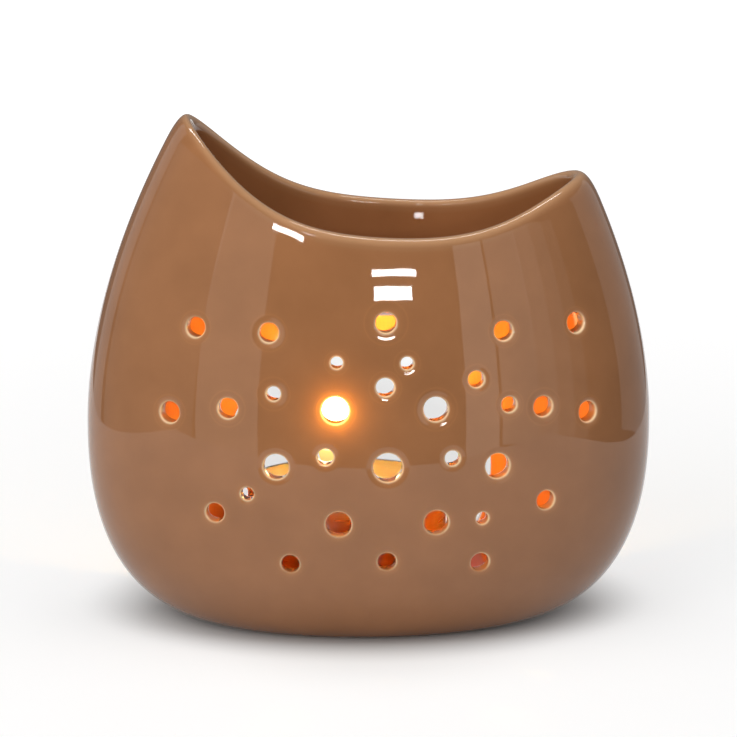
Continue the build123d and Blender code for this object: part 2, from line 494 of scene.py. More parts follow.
def insideLoop(loop, points):
    inside = np.zeros(len(points), bool)
    for (ax, ay), (bx, by) in zip(loop, np.roll(loop, -1, 0)):
        crosses = (ay > points[:, 1]) != (by > points[:, 1])
        if ay != by:
            inside ^= crosses & (points[:, 0] < ax + (points[:, 1] - ay) * (bx - ax) / (by - ay))
    return inside


def wallWithOpenings(shell, gridPoints, openings, toCell):
    # a wall of square cells; round each opening the cells give way to rings, filled in by triangles
    columns, rows = gridPoints.shape[0], gridPoints.shape[1] - 1
    numbers = addPoints(shell, gridPoints).reshape(columns, rows + 1)
    corners = np.stack(np.meshgrid(np.arange(columns), np.arange(rows + 1), indexing="ij"), -1).reshape(-1, 2)
    isOpen = np.zeros((columns, rows), bool)
    covered = np.zeros(columns * (rows + 1), bool)
    for opening in openings:
        opening["cells"] = [toCell(ring) for ring in opening["rings"]]
        outline = opening["cells"][0]
        middle = outline.mean(0)
        wide = middle + (outline - middle) * (1 + 0.5 / np.abs(outline - middle).max(0))
        covered |= insideLoop(wide, corners)
        halves = np.concatenate([wide, (wide + np.roll(wide, 1, 0)) / 2])
        for x, y in np.floor(halves).astype(int):
            isOpen[x % columns, min(max(y, 0), rows - 1)] = True
    grid = covered.reshape(columns, rows + 1)
    for dx in (0, 1):
        side = np.roll(grid, -dx, 0)
        isOpen |= side[:, :-1] | side[:, 1:]
    for x in range(columns):
        for y in range(rows):
            if not isOpen[x, y]:
                n = (x + 1) % columns
                shell["faces"].append(tuple(int(k) for k in (
                    numbers[x, y], numbers[n, y], numbers[n, y + 1], numbers[x, y + 1])))

    known, places, owner = {}, [], []
    for x, y in zip(*np.nonzero(isOpen)):
        for px, py in ((x, y), (x + 1, y), (x, y + 1), (x + 1, y + 1)):
            place = (float(px), float(py))
            if place not in known and not grid[px % columns, py]:
                known[place] = len(places)
                places.append(place)
                owner.append(int(numbers[px % columns, py]))
    edges = []
    for x, y in zip(*np.nonzero(isOpen)):
        for dx, dy, ends in ((-1, 0, ((0, 0), (0, 1))), (1, 0, ((1, 0), (1, 1))),
                             (0, -1, ((0, 0), (1, 0))), (0, 1, ((0, 1), (1, 1)))):
            if 0 <= y + dy < rows and not isOpen[(x + dx) % columns, y + dy]:
                edges.append(tuple(known[(float(x + ex), float(y + ey))] for ex, ey in ends))
    for opening in openings:
        last = len(opening["rings"]) - 1
        for k, (cells, ring) in enumerate(zip(opening["cells"], opening["rings"])):
            keep = np.ones(len(ring), bool)
            if k < last and "share" in opening:
                keep = opening["share"](ring)
            ids = addPoints(shell, ring[keep])
            first = len(places)
            places += [tuple(map(float, c)) for c in cells[keep]]
            owner += [int(i) for i in ids]
            if k == last:
                opening["edge"] = ids
                count = len(ids)
                edges += [(first + i, first + (i + 1) % count) for i in range(count)]
    wholeHull, nearness = 0, 1e-7  # what is filled, and how near points count as one
    coords, _, triangles, origins, _, _ = delaunay_2d_cdt(
        [Vector(p) for p in places], edges, [], wholeHull, nearness)
    triangles = [t for t in triangles if len(t) == 3]
    flatCoords = np.array([tuple(c) for c in coords])
    middles = flatCoords[np.array(triangles)].mean(1)
    cellX = np.floor(middles[:, 0]).astype(int) % columns
    cellY = np.clip(np.floor(middles[:, 1]).astype(int), 0, rows - 1)
    keep = isOpen[cellX, cellY]
    for opening in openings:
        keep &= ~insideLoop(opening["cells"][-1], middles)
    for triangle, wanted in zip(triangles, keep):
        if wanted:
            shell["faces"].append(tuple(owner[origins[k][0]] for k in triangle))
    return numbers


def buildBody():
    shell = newShell()
    columns = np.arange(bodyForm["columns"])
    columnAngles = angleOf(columns)
    columnNet, rowNet = np.meshgrid(columns, np.arange(bodyForm["outerRows"] + 1), indexing="ij")
    angle, height = outerGrid(columnNet.ravel(), rowNet.ravel())
    outerPoints = dished(outerPoint(angle, height)).reshape(bodyForm["columns"], -1, 3)

    def sharer(this):
        def share(points):
            # where two dishes meet, each point belongs to the nearer hole
            mine = holeDistance(this, points) / this["dish"]
            keep = np.ones(len(points), bool)
            for other in holes:
                if other is not this:
                    keep &= holeDistance(other, points) / other["dish"] > mine
            return keep
        return share

    openings = []
    for hole in holes:
        lipRadius = hole["radius"] + holeForm["lip"]
        radii = np.linspace(hole["dish"] + holeForm["dishMargin"], lipRadius, holeForm["dishRings"])
        openings.append({"rings": [holeRing(hole, radius, 0.0) for radius in radii], "share": sharer(hole)})
    openings.append({"rings": [doorRing(offset, False) for offset in doorForm["rings"]]})
    outerNumbers = wallWithOpenings(shell, outerPoints, openings, outerCell)
    outerCount = shell["count"]
    gridCount = outerNumbers.size
    wallPoints = np.concatenate(shell["points"])
    ringPoints = wallPoints[gridCount:].copy()
    wallPoints[gridCount:] = dished(ringPoints)
    shell["points"] = [wallPoints]
    ringAngle = np.arctan2(ringPoints[:, 1] / bodyForm["depthRatio"], ringPoints[:, 0])
    normals = np.concatenate([outerNormals(angle, height), outerNormals(ringAngle, ringPoints[:, 2])])

    columnNet, rowNet = np.meshgrid(columns, np.arange(bodyForm["innerRows"] + 1), indexing="ij")
    innerAngle, run = innerGrid(columnNet.ravel(), rowNet.ravel())
    innerPoints = innerPoint(innerAngle, run).reshape(bodyForm["columns"], -1, 3)
    innerOpenings = []
    for hole in holes:
        start = hole["radius"] + holeForm["innerLip"]
        innerOpenings.append({"rings": [
            holeRing(hole, start + extra, bodyForm["wall"], hole["side"])
            for extra in holeForm["innerRings"]]})
    innerOpenings.append({"rings": [doorRing(0.0, True)]})
    innerNumbers = wallWithOpenings(shell, innerPoints, innerOpenings, innerCell)
    capLoop(shell, innerNumbers[:, 0])

    # bores of the light holes, rounded outside and opened out inside
    quarter = quarterTurn(holeForm["lipSteps"])
    for hole, outerOpening, innerOpening in zip(holes, openings, innerOpenings):
        last = outerOpening["edge"]
        sunk = dishDepth(hole, hole["radius"] + holeForm["lip"])
        for turn in quarter:
            ring = holeRing(hole, hole["radius"] + holeForm["lip"] * (1 - math.sin(turn)), 0.0)
            ring -= hole["normal"] * (sunk + holeForm["lip"] * (1 - math.cos(turn)))
            last = addRing(shell, last, ring)
        for turn in quarter[::-1]:
            spread = 1 - math.sin(turn)
            ring = holeRing(hole, hole["radius"] + holeForm["innerLip"] * spread, bodyForm["wall"],
                            hole["side"] * spread)
            ring += hole["normal"] * holeForm["innerDepth"] * (1 - math.cos(turn))
            last = addRing(shell, last, ring)
        joinLoops(shell, last, innerOpening["edge"])

    # door: rounded outer edge, then straight in along the depth
    last = openings[-1]["edge"]
    for turn in quarterTurn(doorForm["lipSteps"]):
        ring = doorRing(doorForm["lip"] * (1 - math.sin(turn)), False)
        ring[:, 1] -= doorForm["lip"] * (1 - math.cos(turn))
        last = addRing(shell, last, ring)
    joinLoops(shell, last, innerOpenings[-1]["edge"])

    # rim: the two corners rounded, with a narrow flat between them
    outerCorner = outerPoint(columnAngles, np.interp(columnAngles, turnTable, rimOuter))
    innerTop = np.interp(np.interp(columnAngles, turnTable, rimInner), innerLevels, innerRun)
    innerCorner = innerPoint(columnAngles, innerTop)
    across = innerCorner - outerCorner
    across /= np.linalg.norm(across, axis=1)[:, None]
    outerEnd = np.minimum(np.interp(columnAngles, turnTable, outerRound), bodyForm["rimRoundMost"])
    sides = [
        (outerPoints[:, -1], outerCorner, outerCorner + across * outerEnd[:, None]),
        (innerPoints[:, -1], innerCorner, innerCorner - across * bodyForm["rimRound"]),
    ]
    loops = []
    for start, corner, end in sides:
        arc = []
        for t in np.linspace(0, 1, bodyForm["rimSteps"] + 1)[1:]:
            arc.append((1 - t) ** 2 * start + 2 * t * (1 - t) * corner + t ** 2 * end)
        loops.append(arc)
    last = outerNumbers[:, -1]
    for ring in loops[0] + loops[1][::-1]:
        last = addRing(shell, last, ring)
    joinLoops(shell, last, innerNumbers[:, -1])

    # foot ring, and the hollow under the body
    footWidth = float(halfWidthAt(np.array(0.0)))
    footDepth = footWidth * bodyForm["depthRatio"]
    last = outerNumbers[:, 0]
    rounding = bodyForm["footRound"]
    flat = bodyForm["footWidth"] - rounding
    recess = [(flat, 0.0)]
    for turn in quarterTurn(bodyForm["footSteps"]):
        recess.append((flat + rounding * math.sin(turn), rounding * (1 - math.cos(turn))))
    recess.append((bodyForm["footWidth"], bodyForm["footRecess"]))
    for inset, level in recess:
        ring = np.stack([
            (footWidth - inset) * np.cos(columnAngles),
            (footDepth - inset) * np.sin(columnAngles),
            np.full(len(columnAngles), level),
        ], -1)
        last = addRing(shell, last, ring)
    capLoop(shell, last)

    # leave out the grid points that fell inside an opening
    used = np.unique(np.concatenate([np.array(face) for face in shell["faces"]]))
    renumber = np.zeros(shell["count"], int)
    renumber[used] = np.arange(len(used))
    kept = newShell()
    addPoints(kept, np.concatenate(shell["points"])[used])
    kept["faces"] = [tuple(int(renumber[k]) for k in face) for face in shell["faces"]]
    outerUsed = used[used < outerCount]
    return kept, len(outerUsed), normals[outerUsed]


def keepNormals(piece, count, normals):
    # exact normals on the outside, so that the gloss runs smoothly over the triangles round the holes
    mesh = piece.data
    corner = np.zeros(len(mesh.loops) * 3, np.float32)
    mesh.corner_normals.foreach_get("vector", corner)
    corner = corner.reshape(-1, 3)
    vertex = np.zeros(len(mesh.loops), np.int32)
    mesh.loops.foreach_get("vertex_index", vertex)
    outside = vertex < count
    corner[outside] = normals[vertex[outside]]
    mesh.normals_split_custom_set(corner.tolist())


glazeLook = {
    "dark": (0.341, 0.143, 0.054), "light": (0.392, 0.166, 0.0648),
    # thin is thinner glaze over the clay inside; the lip colour is painted candlelight on the holes' lips
    "thin": (0.62, 0.245, 0.080), "lip": (0.93, 0.72, 0.45),  # over the clay inside, and at a lip
    "scale": 90.0, "detail": 4.0, "roughLow": 0.012, "roughHigh": 0.025,
    "waves": 150.0, "waveDetail": 1.0, "waveBump": (0.013, 0.0006),
    # painted glow: emission on the lips stands in for candlelight shining through them
    "lipGlow": 0.15,  # the candle shines through the lips
    "sockets": {"Emission Color": (1.0, 0.78, 0.48, 1.0), "IOR": 1.5},
}


def glazeMaterial(name, look):
    material, nodes, links, shader = startMaterial(name)
    colour = noiseCoat(nodes, links, shader, look)
    for layer in ("thin", "lip"):
        amount = nodes.new("ShaderNodeAttribute")
        amount.attribute_name = layer
        mix = nodes.new("ShaderNodeMix")
        mix.data_type = "RGBA"
        links.new(amount.outputs["Fac"], mix.inputs["Factor"])
        links.new(colour, mix.inputs["A"])
        mix.inputs["B"].default_value = (*look[layer], 1.0)
        colour = mix.outputs["Result"]
    links.new(colour, shader.inputs["Base Color"])
    # the last amount is that of the lips, which also drives their painted glow
    lipGlow = rangeNode(nodes, links, amount.outputs["Fac"], 0.0, look["lipGlow"])
    links.new(lipGlow, shader.inputs["Emission Strength"])
    waves = noiseNode(nodes, links, look["waves"], look["waveDetail"])
    bumpNode(nodes, links, shader, waves, *look["waveBump"])
    return material


brownGlaze = glazeMaterial("brown_glaze_gloss", glazeLook)
bodyShell, outerCount, outerDirections = buildBody()
glazedBody = makePiece("glazed_body", bodyShell, brownGlaze, "burner", "burner_body")
keepNormals(glazedBody, outerCount, outerDirections)
print("body:", len(glazedBody.data.vertices), "points", len(glazedBody.data.polygons), "faces")


# where the glaze is thin: in the chamber, at the rim and round the holes; the lip layer is painted light:
# painted candlelight on the holes' lips and a painted highlight along the rim's crest

thinForm = {
    "chamberTop": 66.0, "haloReach": 0.9, "halo": 0.30, "ringWidth": 0.2, "ring": 0.17, "ringLow": 0.05,
    "rimReach": 0.9, "rim": 0.18, "lipReach": 0.22, "lipStart": 0.2, "lipDepth": 0.35, "lip": 0.9,
    "rimHighlightReach": 1.3, "rimHighlight": 0.16, "slack": 0.05,
}


def thinValues(points):
    level = points[:, 2]
    reach = np.hypot(points[:, 0], points[:, 1] / innerRatio)
    inside = halfWidthAt(level) - bodyForm["wall"] + thinForm["slack"]
    chamber = (reach < inside) & (level < thinForm["chamberTop"])
    below = np.maximum(saddleHeight(points) - level, 0)
    thin = thinForm["rim"] * np.exp(-(below / thinForm["rimReach"]) ** 2)
    # painted highlight along the rim's crest, in the pale lip colour with its faint glow
    lip = thinForm["rimHighlight"] * np.exp(-(below / thinForm["rimHighlightReach"]) ** 2)
    for hole in holes:
        distance = holeDistance(hole, points)
        away = np.maximum(distance - hole["radius"], 0)
        near = thinForm["halo"] * np.exp(-(away / thinForm["haloReach"]) ** 2)
        ring = thinForm["ring" if hole["centre"][2] > bodyForm["widestHeight"] else "ringLow"]
        edge = ring * np.exp(-((distance - hole["dish"]) / thinForm["ringWidth"]) ** 2)
        thin = np.maximum(thin, np.maximum(near, edge))
        # painted candlelight on each hole's lip, in the pale lip colour with its faint glow
        sunk = np.maximum((hole["centre"] - points) @ hole["normal"] - thinForm["lipStart"], 0)
        fade = np.exp(-(away / thinForm["lipReach"]) ** 2 - (sunk / thinForm["lipDepth"]) ** 2)
        lip = np.maximum(lip, thinForm["lip"] * fade)
    return np.where(chamber, 1.0, thin), np.where(chamber, 0.0, lip)


thinGlaze, lipPaintedLight = thinValues(np.concatenate(bodyShell["points"]))
setPointValues(glazedBody, "thin", thinGlaze)
setPointValues(glazedBody, "lip", lipPaintedLight)


# oil bowl in the mouth, with a bead of glaze where it meets the wall

bowlForm = {
    "underside": 63.0, "thickness": 3.0, "flat": 18.0, "seatLow": 67.6, "seatHigh": 70.4,
    "bead": 1.6, "intoWall": 0.4, "beadIntoWall": 0.1, "points": 160,
    "middle": 0.5, "flatRing": 9.0, "underSteps": 12, "insideSteps": 28,
    "steep": 0.45, "steepPower": 14,  # the share of the inside's curve that is steep, and how steep
}


def buildBowl():
    def wallReach(level):
        return float(halfWidthAt(np.array(level))) - bodyForm["wall"]

    low = bowlForm["underside"]
    inside = low + bowlForm["thickness"]
    seat = wallReach(bowlForm["seatLow"]) + bowlForm["intoWall"]
    top = bowlForm["seatHigh"] + bowlForm["bead"]
    edge = wallReach(top) + bowlForm["beadIntoWall"]
    profile = [(bowlForm["middle"], low), (bowlForm["flatRing"], low)]
    for t in np.linspace(0, 1, bowlForm["underSteps"]):
        rise = (bowlForm["seatLow"] - low) * t * t
        profile.append((bowlForm["flat"] + (seat - bowlForm["flat"]) * t, low + rise))
    profile.append((edge + bowlForm["intoWall"], top))
    steep = bowlForm["steep"]
    for t in np.linspace(0, 1, bowlForm["insideSteps"]):
        # steep at the wall, then a long easy curve down to the flat bottom
        drop = (top - inside) * (1 - t) ** 2 * (1 - steep + steep * (1 - t) ** bowlForm["steepPower"])
        profile.append((edge + (bowlForm["flat"] - edge) * t, inside + drop))
    profile += [(bowlForm["flatRing"], inside), (bowlForm["middle"], inside)]
    return closedSkin(turned(profile, bowlForm["points"], flat=innerRatio))


bowlLook = dict(glazeLook, dark=(0.300, 0.125, 0.047), light=(0.340, 0.145, 0.056))
bowlGlaze = glazeMaterial("bowl_glaze_gloss", bowlLook)
oilBowl = makePiece("oil_bowl_glazed", buildBowl(), bowlGlaze, "burner", "oil_bowl")
print("bowl:", len(oilBowl.data.vertices), "points")


# tealight: fluted metal cup, wax with a melted pool, charred wick and its holder

candleForm = {"centre": (-4.2, 3.0), "foot": 11.05, "points": 192, "middle": 0.5}  # for cup, wax and wick

cupForm = {
    "height": 16.0, "baseRadius": 19.4, "rimRadius": 19.8, "wall": 0.4,
    "baseRound": 1.5, "baseInset": 2.0, "baseSteps": 7, "bead": 0.5, "beadInset": 0.02, "beadSteps": 11,
    "flutes": 48, "fluteDepth": 0.16, "flutePower": 0.5, "fluteFrom": 0.6, "fluteGap": 0.3,
    "outerSteps": 12, "innerSteps": 14, "innerGap": 0.1,
}
cupLean = (cupForm["rimRadius"] - cupForm["baseRadius"]) / cupForm["height"]


def buildCup():
    c = cupForm
    foot, base, rounding, bead = candleForm["foot"], c["baseRadius"], c["baseRound"], c["bead"]
    low = rounding + c["fluteFrom"]

    def fluted(level):
        return math.sin(math.pi * level / c["height"]) ** c["flutePower"]

    # radius, height and share of the flutes' depth
    rows = [(candleForm["middle"], foot, 0.0), (base - rounding - c["baseInset"], foot, 0.0)]
    for turn in np.linspace(0, math.pi / 2, c["baseSteps"]):
        rows.append((base - rounding + rounding * math.sin(turn),
                     foot + rounding * (1 - math.cos(turn)), 0.0))
    for level in np.linspace(low, c["height"] - 2 * bead - c["fluteGap"], c["outerSteps"]):
        rows.append((base + cupLean * level, foot + level, fluted(level)))
    for turn in np.linspace(-math.pi / 2, math.pi / 2, c["beadSteps"]):
        rows.append((c["rimRadius"] - c["beadInset"] + bead * math.cos(turn),
                     foot + c["height"] - bead + bead * math.sin(turn), 0.0))
    for level in np.linspace(c["height"] - c["innerGap"], low, c["innerSteps"]):
        rows.append((base - c["wall"] + cupLean * level, foot + level, fluted(level)))
    rows += [(base - rounding, foot + c["wall"], 0.0), (candleForm["middle"], foot + c["wall"], 0.0)]

    def flute(angles, k):
        return -c["fluteDepth"] * rows[k][2] * (0.5 + 0.5 * np.cos(c["flutes"] * angles))

    profile = [row[:2] for row in rows]
    return closedSkin(turned(profile, candleForm["points"], candleForm["centre"], wave=flute))


wickForm = {
    "radius": 1.0, "straight": 13.0, "bendRadius": 9.0, "bend": 32.0, "points": 24, "rings": 60,
    "strands": 3, "twist": 5, "plaitDepth": 0.09, "taper": 0.35, "taperFrom": 0.86,
}

waxForm = {
    "depth": 11.5, "poolRadius": 15.0, "poolDrop": 0.7, "poolEdge": 0.5, "gap": 0.05,
    "meniscus": 0.35, "cupCreep": 0.7, "wickCreep": 0.9,  # the wax stands up at the cup and at the wick
    "sideFrom": 3.0, "sideGap": 0.5, "sideSteps": 6, "topSteps": 30,
}


def buildWax():
    w = waxForm
    low = candleForm["foot"] + cupForm["wall"]
    side = cupForm["baseRadius"] - cupForm["wall"] - cupForm["fluteDepth"] - w["gap"]
    profile = [(candleForm["middle"], low + w["gap"]), (side - cupForm["baseRound"], low + w["gap"]),
               (side, low + cupForm["baseRound"])]
    for level in np.linspace(w["sideFrom"], w["depth"] - w["sideGap"], w["sideSteps"]):
        profile.append((side + cupLean * level, low + level))
    edge = side + cupLean * w["depth"]
    for t in np.linspace(0, 1, w["topSteps"]):
        radius = edge + (wickForm["radius"] + w["gap"] - edge) * t
        pool = 1 / (1 + math.exp((radius - w["poolRadius"]) / w["poolEdge"]))
        atCup = math.exp(-(edge - radius) / w["cupCreep"])
        atWick = math.exp(-(radius - wickForm["radius"]) / w["wickCreep"])
        creep = w["meniscus"] * (atCup + atWick - 1)
        profile.append((radius, low + w["depth"] - w["poolDrop"] * pool + creep))
    return closedSkin(turned(profile, candleForm["points"], candleForm["centre"]))


def wickLine(count):
    # up the middle, then bent over to the left
    x, y = candleForm["centre"]
    low, bendRadius = candleForm["foot"] + cupForm["wall"], wickForm["bendRadius"]
    straight = wickForm["straight"] - cupForm["wall"]
    spots = []
    for run in np.linspace(0, straight + bendRadius * math.radians(wickForm["bend"]), count):
        lean = max(0.0, run - straight) / bendRadius
        level = low + min(run, straight) + bendRadius * math.sin(lean)
        spots.append((x - bendRadius * (1 - math.cos(lean)), y, level, lean))
    return spots


def buildWick():
    w = wickForm
    turn = np.linspace(0, 2 * math.pi, w["points"], endpoint=False)
    loops = []
    for k, (x, y, z, lean) in enumerate(wickLine(w["rings"])):
        share = k / (w["rings"] - 1)
        plait = 1 - w["plaitDepth"] * np.cos(w["strands"] * turn + 2 * math.pi * w["twist"] * share)
        tip = max(0.0, (share - w["taperFrom"]) / (1 - w["taperFrom"]))
        radius = w["radius"] * plait * (1 - w["taper"] * tip ** 2)
        loops.append(np.stack([x + radius * np.cos(turn) * math.cos(lean), y + radius * np.sin(turn),
                               z + radius * np.cos(turn) * math.sin(lean)], -1))
    return closedSkin(loops)


cupLook = {
    "scale": 60.0, "detail": 4.0, "stretch": (1, 1, 12), "bump": (0.15, 0.0001),
    "dark": (0.62, 0.61, 0.59), "light": (0.78, 0.77, 0.75), "roughLow": 0.22, "roughHigh": 0.38,
    "sockets": {"Metallic": 1.0},
}
cupMetal = coatedMaterial("cup_aluminium", cupLook)
tealightCup = makePiece("tealight_cup_fluted", buildCup(), cupMetal, "tealight", "tealight_cup")

waxLook = {
    "scale": 150.0, "detail": 3.0, "bump": (0.1, 0.0002),
    "dark": (0.82, 0.74, 0.56), "light": (0.89, 0.83, 0.68), "roughLow": 0.25, "roughHigh": 0.4,
    "sockets": {
        "Subsurface Weight": 0.4, "Subsurface Radius": (1.0, 0.7, 0.4), "Subsurface Scale": 0.003,
        # painted glow: emission stands in for the flame's light shining into the wax
        "Emission Color": (1.0, 0.60, 0.10, 1.0), "Emission Strength": 0.35,  # the flame shines into the wax
    },
}
waxMaterial = coatedMaterial("candle_wax_white", waxLook)
tealightWax = makePiece("tealight_wax_pool", buildWax(), waxMaterial, "tealight",
                        "tealight_wax")

wickLook = {
    "cotton": (0.42, 0.36, 0.27), "char": (0.012, 0.010, 0.009), "charFrom": 24.5, "charTo": 27.0,
    "fibre": 2500.0, "fibreDetail": 3.0, "fibreBump": (0.5, 0.0002), "rough": 0.9,
}
wickMaterial, nodes, links, shader = startMaterial("wick_charred")
char = heightNode(nodes, links, wickLook["charFrom"], wickLook["charTo"])
tone = rampNode(nodes, links, char, [(0.0, wickLook["cotton"]), (1.0, wickLook["char"])])
links.new(tone, shader.inputs["Base Color"])
fibre = noiseNode(nodes, links, wickLook["fibre"], wickLook["fibreDetail"])
bumpNode(nodes, links, shader, fibre, *wickLook["fibreBump"])
shader.inputs["Roughness"].default_value = wickLook["rough"]
candleWick = makePiece("wick_plaited", buildWick(), wickMaterial, "tealight", "wick")

sustainerLook = {
    "scale": 400.0, "detail": 3.0, "dark": (0.45, 0.45, 0.46), "light": (0.60, 0.60, 0.61),
    "roughLow": 0.3, "roughHigh": 0.45, "sockets": {"Metallic": 1.0},
}
sustainerMetal = coatedMaterial("sustainer_tinplate", sustainerLook)
sustainer = frame["nodes"]["wick_sustainer"]
sustainer.data.materials.clear()
sustainer.data.materials.append(sustainerMetal)
print("tealight: cup, wax, wick and sustainer")


# flame: a teardrop of burning gas over the wick's tip, and the light it gives

flameForm = {
    "middle": (-6.0, 3.0), "foot": 28.0, "height": 21.0, "radius": 4.0, "widest": 0.32, "lean": -1.2,
    "points": 40, "rings": 36, "endGap": 0.004, "tipPower": 1.25, "strength": 9.0,
    "tones": [
        (0.0, (0.02, 0.03, 0.09)), (0.12, (0.09, 0.06, 0.02)), (0.27, (0.15, 0.105, 0.03)),
        (0.42, (1.0, 0.80, 0.42)), (0.8, (1.0, 0.72, 0.30)), (1.0, (1.0, 0.45, 0.10)),
    ],
}

flameLamps = {
    "flame_light": {
        "place": (3.0, 8.0, 46.0), "colour": (1.0, 0.63, 0.14), "power": 0.072, "radius": 3.0,
    },
    # what leaks out of the hole in front of the flame and tints the glaze round it
    "flame_leak": {
        "place": (-7.7, -31.6, 48.1), "colour": (1.0, 0.55, 0.03), "power": 0.0025, "radius": 1.0,
    },
}


def buildFlame():
    f = flameForm
    turn = np.linspace(0, 2 * math.pi, f["points"], endpoint=False)
    loops = []
    for t in np.linspace(f["endGap"], 1 - f["endGap"], f["rings"]):
        if t < f["widest"]:
            radius = f["radius"] * math.sqrt(1 - (1 - t / f["widest"]) ** 2)
        else:
            narrowing = math.cos(0.5 * math.pi * (t - f["widest"]) / (1 - f["widest"]))
            radius = f["radius"] * narrowing ** f["tipPower"]
        loops.append(np.stack([f["middle"][0] + f["lean"] * t * t + radius * np.cos(turn),
                               f["middle"][1] + radius * np.sin(turn),
                               np.full(f["points"], f["foot"] + t * f["height"])], -1))
    return closedSkin(loops)


flameMaterial, nodes, links, output = emptyMaterial("flame_glow")
burning = nodes.new("ShaderNodeEmission")
rise = heightNode(nodes, links, flameForm["foot"], flameForm["foot"] + flameForm["height"])
links.new(rampNode(nodes, links, rise, flameForm["tones"]), burning.inputs["Color"])
burning.inputs["Strength"].default_value = flameForm["strength"]
links.new(burning.outputs[0], output.inputs[0])
flame = makePiece("flame", buildFlame(), flameMaterial, "tealight")
flame.visible_shadow = False

for name, values in flameLamps.items():
    data = bpy.data.lights.new(name, "POINT")
    data.energy = values["power"]
    data.color = values["colour"]
    data.shadow_soft_size = values["radius"] * mm
    lamp = bpy.data.objects.new(name, data)
    lamp.location = Vector(values["place"]) * mm
    lamp.visible_camera = False
    lamp.visible_glossy = False
    sceneObjects.link(lamp)
    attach(lamp, "tealight")
print("flame lit")


# studio: white table that ends in front of the burner, soft panels and bright strips

studio = {
    "tableFront": -0.175, "tableLeft": -0.255, "tableRight": 0.21, "tableBack": 2.5,
    "tableWidensFrom": 0.35, "tableFarRight": 0.5,
    "tableColour": (0.50, 0.50, 0.50),
    # painted shadow on the table: no glow in an oval under the burner, less in a long one behind it, and more
    # far behind
    "footMiddle": 0.014, "footHalf": (0.034, 0.029), "footTo": 1.75, "glow": 0.54,
    "shadeMiddle": 0.11, "shadeHalf": (0.036, 0.11), "shadeTo": 1.6, "paintedShadow": 0.65,
    "farFrom": 0.1, "farTo": 0.9, "farGlow": 0.41, "worldLevel": 0.19,
}

# each lamp: degrees from the front and up, distance, width and height, radiance, and a turn or a colour
warm = (1.0, 0.96, 0.89)
lamps = {
    "panel_left": {"from": (-36.3, 4.5, 1.04), "size": (0.37, 0.82), "radiance": 0.9, "colour": warm},
    "panel_side": {"from": (-79.0, 7.5, 1.04), "size": (1.32, 0.80), "radiance": 0.33, "colour": warm},
    "panel_right": {"from": (28.7, -0.5, 1.03), "size": (0.165, 0.64), "radiance": 1.2, "colour": warm},
    "panel_far": {"from": (40.2, 3.0, 1.04), "size": (0.22, 0.55), "radiance": 0.95, "colour": warm},
    "panel_fading_1": {"from": (50.0, 3.0, 1.04), "size": (0.14, 0.55), "radiance": 0.75, "colour": warm},
    "panel_fading_2": {"from": (57.5, 3.0, 1.04), "size": (0.13, 0.55), "radiance": 0.5, "colour": warm},
    "panel_fading_3": {"from": (64.6, 3.0, 1.04), "size": (0.125, 0.55), "radiance": 0.25, "colour": warm},
    "softbox_top": {"from": (0.0, 82.0, 1.3), "size": (1.3, 1.3), "radiance": 2.25},
    "fill_left": {"from": (-33.0, 22.0, 1.0), "size": (0.8, 0.8), "radiance": 1.8},
    "strip_upper": {"from": (7.4, 11.95, 1.23), "size": (0.242, 0.018), "radiance": 45.0},
    "strip_lower": {"from": (7.0, 9.55, 1.23), "size": (0.203, 0.036), "radiance": 45.0},
    "strip_left": {"from": (-22.5, 17.2, 1.24), "size": (0.216, 0.0145), "radiance": 45.0, "turn": -11.2},
    "strip_rim": {"from": (180.0, 66.0, 1.3), "size": (0.7, 0.15), "radiance": 14.0},
    "edge_left": {"from": (-127.0, 15.0, 1.2), "size": (0.5, 1.3), "radiance": 0.55},
    "edge_right": {"from": (118.0, 8.0, 1.2), "size": (1.12, 0.9), "radiance": 0.42},
    "glint_back": {"from": (-11.8, 32.5, 1.2), "size": (0.045, 0.027), "radiance": 300.0},
}
unmirrored = {"fill_left", "softbox_top"}  # lamps that give light but show no reflection
# lamps that only show in the gloss
mirroredOnly = {"strip_rim", "edge_left", "edge_right", "glint_back", "panel_side", "panel_right",
                "panel_far", "panel_fading_1", "panel_fading_2", "panel_fading_3"}
aimPoint = Vector((0, 0, 0.045))


def direction(azimuth, elevation):
    a, e = math.radians(azimuth), math.radians(elevation)
    return Vector((math.sin(a) * math.cos(e), -math.cos(a) * math.cos(e), math.sin(e)))


for name, lamp in lamps.items():
    data = bpy.data.lights.new(name, "AREA")
    data.shape = "RECTANGLE"
    data.size, data.size_y = lamp["size"]
    data.energy = lamp["radiance"] * math.pi * lamp["size"][0] * lamp["size"][1]
    data.color = lamp.get("colour", (1.0, 1.0, 1.0))
    azimuth, elevation, distance = lamp["from"]
    away = direction(azimuth, elevation)
    holder = bpy.data.objects.new(name, data)
    holder.location = aimPoint + away * distance
    holder.rotation_mode = "QUATERNION"
    level = (-away).to_track_quat("-Z", "Y")
    holder.rotation_quaternion = level @ Quaternion((0, 0, 1), math.radians(lamp.get("turn", 0)))
    holder.visible_camera = False
    holder.visible_glossy = name not in unmirrored
    holder.visible_diffuse = name not in mirroredOnly
    sceneObjects.link(holder)

tableMesh = bpy.data.meshes.new("table")
left, right = studio["tableLeft"], studio["tableRight"]
front, back = studio["tableFront"], studio["tableBack"]
tableCorners = [(left, front, 0), (right, front, 0), (right, studio["tableWidensFrom"], 0),
                (studio["tableFarRight"], back, 0), (left, back, 0)]
tableMesh.from_pydata(tableCorners, [], [range(len(tableCorners))])
table = bpy.data.objects.new("table", tableMesh)
sceneObjects.link(table)
tableMaterial, nodes, links, output = emptyMaterial("table_white")
paper = nodes.new("ShaderNodeBsdfDiffuse")
paper.inputs["Color"].default_value = (*studio["tableColour"], 1.0)
glow = nodes.new("ShaderNodeEmission")
path = nodes.new("ShaderNodeLightPath")
place = nodes.new("ShaderNodeTexCoord")


